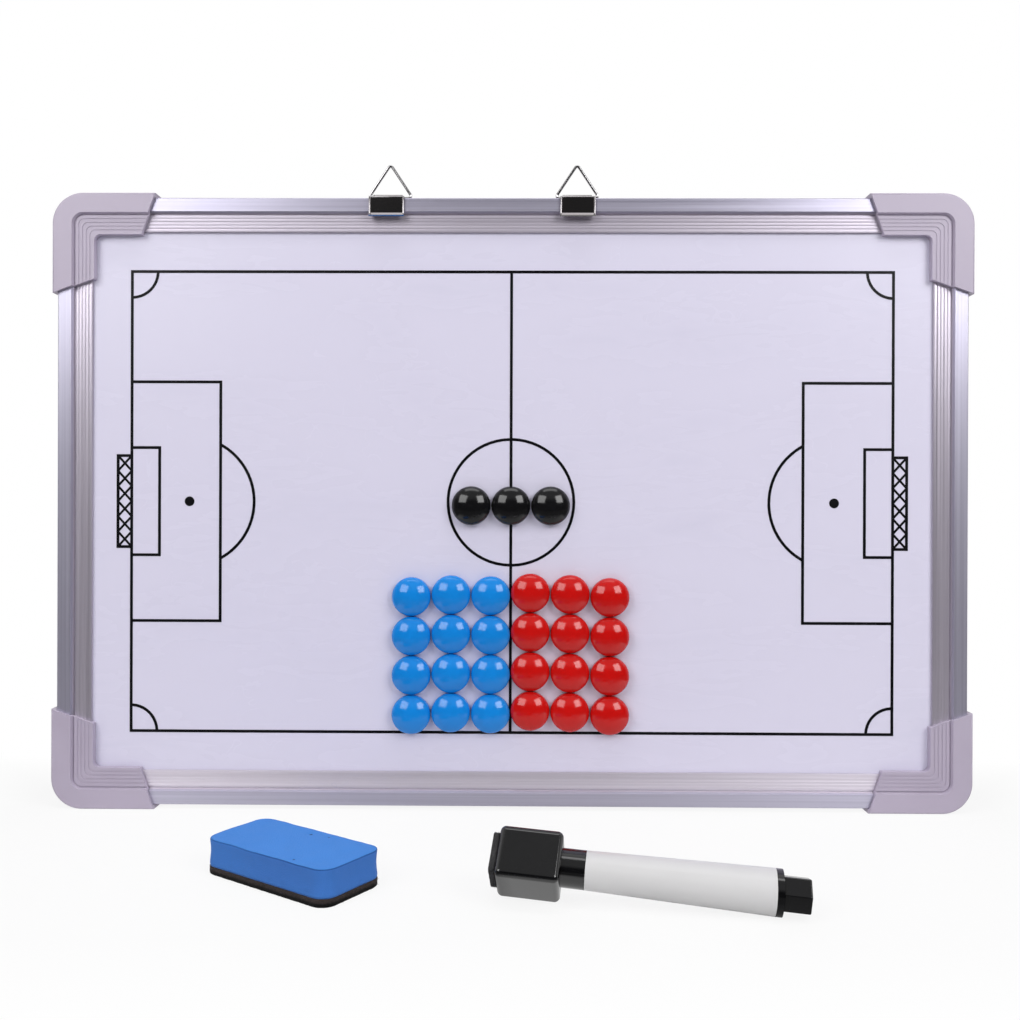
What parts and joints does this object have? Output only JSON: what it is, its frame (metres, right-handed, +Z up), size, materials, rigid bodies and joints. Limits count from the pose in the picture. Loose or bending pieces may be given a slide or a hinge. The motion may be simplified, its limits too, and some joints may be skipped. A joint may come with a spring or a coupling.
{
  "type": "tactics board",
  "caption": "Magnetic tactics board with ridged aluminium frame, moulded corner caps, hanging rings and printed football pitch, with round counters, a foam eraser and a capped marker.",
  "frame": {"origin": "bottom centre of the whole set's box, on the floor plane", "axes": "+X along the board to the reader's right, +Y from the written face to the back, +Z up"},
  "size_m": [0.45, 0.1469, 0.3182],
  "materials": {
    "rail_aluminium": "satin",
    "corner_plastic": "satin",
    "face_enamel": "gloss",
    "print_ink": "matte",
    "core_board": "matte",
    "back_steel": "satin",
    "screw_steel": "satin",
    "hanger_chrome": "polished",
    "ring_wire": "polished",
    "blue_plastic": "gloss",
    "red_plastic": "gloss",
    "black_plastic": "gloss",
    "eraser_foam": "matte",
    "eraser_felt": "matte",
    "marker_white": "satin",
    "marker_black": "gloss",
    "nib_fibre": "matte",
    "ink_fibre": "matte",
    "cap_felt": "matte"
  },
  "bodies": {
    "board": {"top_rail": "rail_aluminium", "bottom_rail": "rail_aluminium", "left_rail": "rail_aluminium", "right_rail": "rail_aluminium", "top_left_corner_cap": "corner_plastic", "top_right_corner_cap": "corner_plastic", "bottom_left_corner_cap": "corner_plastic", "bottom_right_corner_cap": "corner_plastic", "corner_screws": "screw_steel", "face_sheet": "face_enamel", "panel_core": "core_board", "back_sheet": "back_steel", "pitch_print": "print_ink"},
    "left_clip": {"left_hanger_clip": "hanger_chrome"},
    "right_clip": {"right_hanger_clip": "hanger_chrome"},
    "left_ring": {"left_hanger_ring": "ring_wire"},
    "right_ring": {"right_hanger_ring": "ring_wire"},
    "eraser": {"eraser_foam": "eraser_foam", "eraser_felt": "eraser_felt"},
    "marker": {"marker_barrel": "marker_white", "marker_nose": "marker_black", "marker_nib": "nib_fibre", "marker_ink_reservoir": "ink_fibre", "marker_end_plug": "marker_black"},
    "marker_cap": {"marker_cap": "marker_black", "marker_cap_felt": "cap_felt"},
    "blue_counter_1": {"blue_counter_1": "blue_plastic"},
    "blue_counter_2": {"blue_counter_2": "blue_plastic"},
    "blue_counter_3": {"blue_counter_3": "blue_plastic"},
    "blue_counter_4": {"blue_counter_4": "blue_plastic"},
    "blue_counter_5": {"blue_counter_5": "blue_plastic"},
    "blue_counter_6": {"blue_counter_6": "blue_plastic"},
    "blue_counter_7": {"blue_counter_7": "blue_plastic"},
    "blue_counter_8": {"blue_counter_8": "blue_plastic"},
    "blue_counter_9": {"blue_counter_9": "blue_plastic"},
    "blue_counter_10": {"blue_counter_10": "blue_plastic"},
    "blue_counter_11": {"blue_counter_11": "blue_plastic"},
    "blue_counter_12": {"blue_counter_12": "blue_plastic"},
    "red_counter_1": {"red_counter_1": "red_plastic"},
    "red_counter_2": {"red_counter_2": "red_plastic"},
    "red_counter_3": {"red_counter_3": "red_plastic"},
    "red_counter_4": {"red_counter_4": "red_plastic"},
    "red_counter_5": {"red_counter_5": "red_plastic"},
    "red_counter_6": {"red_counter_6": "red_plastic"},
    "red_counter_7": {"red_counter_7": "red_plastic"},
    "red_counter_8": {"red_counter_8": "red_plastic"},
    "red_counter_9": {"red_counter_9": "red_plastic"},
    "red_counter_10": {"red_counter_10": "red_plastic"},
    "red_counter_11": {"red_counter_11": "red_plastic"},
    "red_counter_12": {"red_counter_12": "red_plastic"},
    "black_counter_1": {"black_counter_1": "black_plastic"},
    "black_counter_2": {"black_counter_2": "black_plastic"},
    "black_counter_3": {"black_counter_3": "black_plastic"}
  },
  "joints": [
    {"name": "left_clip_slide", "type": "slide", "parent": "board", "child": "left_clip", "axis": [1, 0, 0], "range_m": [-0.095, 0.025]},
    {"name": "right_clip_slide", "type": "slide", "parent": "board", "child": "right_clip", "axis": [1, 0, 0], "range_m": [-0.025, 0.125]},
    {"name": "left_ring_swing", "type": "hinge", "parent": "left_clip", "child": "left_ring", "pos_m": [-0.0602, 0.06515, 0.30175], "axis": [1, 0, 0], "range_deg": [-82, 82]},
    {"name": "right_ring_swing", "type": "hinge", "parent": "right_clip", "child": "right_ring", "pos_m": [0.0323, 0.06515, 0.30175], "axis": [1, 0, 0], "range_deg": [-82, 82]},
    {"name": "marker_cap_pull", "type": "slide", "parent": "marker", "child": "marker_cap", "axis": [-0.9886, 0.1389, 0.0583], "range_m": [0, 0.036]},
    {"name": "marker_lift", "type": "slide", "parent": "board", "child": "marker", "axis": [0, 0, 1], "range_m": [0, 0.06]},
    {"name": "eraser_lift", "type": "slide", "parent": "board", "child": "eraser", "axis": [0, 0, 1], "range_m": [0, 0.06]},
    {"name": "blue_counter_1_pull", "type": "slide", "parent": "board", "child": "blue_counter_1", "axis": [0, -1, 0], "range_m": [0, 0.03]},
    {"name": "blue_counter_2_pull", "type": "slide", "parent": "board", "child": "blue_counter_2", "axis": [0, -1, 0], "range_m": [0, 0.03]},
    {"name": "blue_counter_3_pull", "type": "slide", "parent": "board", "child": "blue_counter_3", "axis": [0, -1, 0], "range_m": [0, 0.03]},
    {"name": "blue_counter_4_pull", "type": "slide", "parent": "board", "child": "blue_counter_4", "axis": [0, -1, 0], "range_m": [0, 0.03]},
    {"name": "blue_counter_5_pull", "type": "slide", "parent": "board", "child": "blue_counter_5", "axis": [0, -1, 0], "range_m": [0, 0.03]},
    {"name": "blue_counter_6_pull", "type": "slide", "parent": "board", "child": "blue_counter_6", "axis": [0, -1, 0], "range_m": [0, 0.03]},
    {"name": "blue_counter_7_pull", "type": "slide", "parent": "board", "child": "blue_counter_7", "axis": [0, -1, 0], "range_m": [0, 0.03]},
    {"name": "blue_counter_8_pull", "type": "slide", "parent": "board", "child": "blue_counter_8", "axis": [0, -1, 0], "range_m": [0, 0.03]},
    {"name": "blue_counter_9_pull", "type": "slide", "parent": "board", "child": "blue_counter_9", "axis": [0, -1, 0], "range_m": [0, 0.03]},
    {"name": "blue_counter_10_pull", "type": "slide", "parent": "board", "child": "blue_counter_10", "axis": [0, -1, 0], "range_m": [0, 0.03]},
    {"name": "blue_counter_11_pull", "type": "slide", "parent": "board", "child": "blue_counter_11", "axis": [0, -1, 0], "range_m": [0, 0.03]},
    {"name": "blue_counter_12_pull", "type": "slide", "parent": "board", "child": "blue_counter_12", "axis": [0, -1, 0], "range_m": [0, 0.03]},
    {"name": "red_counter_1_pull", "type": "slide", "parent": "board", "child": "red_counter_1", "axis": [0, -1, 0], "range_m": [0, 0.03]},
    {"name": "red_counter_2_pull", "type": "slide", "parent": "board", "child": "red_counter_2", "axis": [0, -1, 0], "range_m": [0, 0.03]},
    {"name": "red_counter_3_pull", "type": "slide", "parent": "board", "child": "red_counter_3", "axis": [0, -1, 0], "range_m": [0, 0.03]},
    {"name": "red_counter_4_pull", "type": "slide", "parent": "board", "child": "red_counter_4", "axis": [0, -1, 0], "range_m": [0, 0.03]},
    {"name": "red_counter_5_pull", "type": "slide", "parent": "board", "child": "red_counter_5", "axis": [0, -1, 0], "range_m": [0, 0.03]},
    {"name": "red_counter_6_pull", "type": "slide", "parent": "board", "child": "red_counter_6", "axis": [0, -1, 0], "range_m": [0, 0.03]},
    {"name": "red_counter_7_pull", "type": "slide", "parent": "board", "child": "red_counter_7", "axis": [0, -1, 0], "range_m": [0, 0.03]},
    {"name": "red_counter_8_pull", "type": "slide", "parent": "board", "child": "red_counter_8", "axis": [0, -1, 0], "range_m": [0, 0.03]},
    {"name": "red_counter_9_pull", "type": "slide", "parent": "board", "child": "red_counter_9", "axis": [0, -1, 0], "range_m": [0, 0.03]},
    {"name": "red_counter_10_pull", "type": "slide", "parent": "board", "child": "red_counter_10", "axis": [0, -1, 0], "range_m": [0, 0.03]},
    {"name": "red_counter_11_pull", "type": "slide", "parent": "board", "child": "red_counter_11", "axis": [0, -1, 0], "range_m": [0, 0.03]},
    {"name": "red_counter_12_pull", "type": "slide", "parent": "board", "child": "red_counter_12", "axis": [0, -1, 0], "range_m": [0, 0.03]},
    {"name": "black_counter_1_pull", "type": "slide", "parent": "board", "child": "black_counter_1", "axis": [0, -1, 0], "range_m": [0, 0.03]},
    {"name": "black_counter_2_pull", "type": "slide", "parent": "board", "child": "black_counter_2", "axis": [0, -1, 0], "range_m": [0, 0.03]},
    {"name": "black_counter_3_pull", "type": "slide", "parent": "board", "child": "black_counter_3", "axis": [0, -1, 0], "range_m": [0, 0.03]}
  ]
}
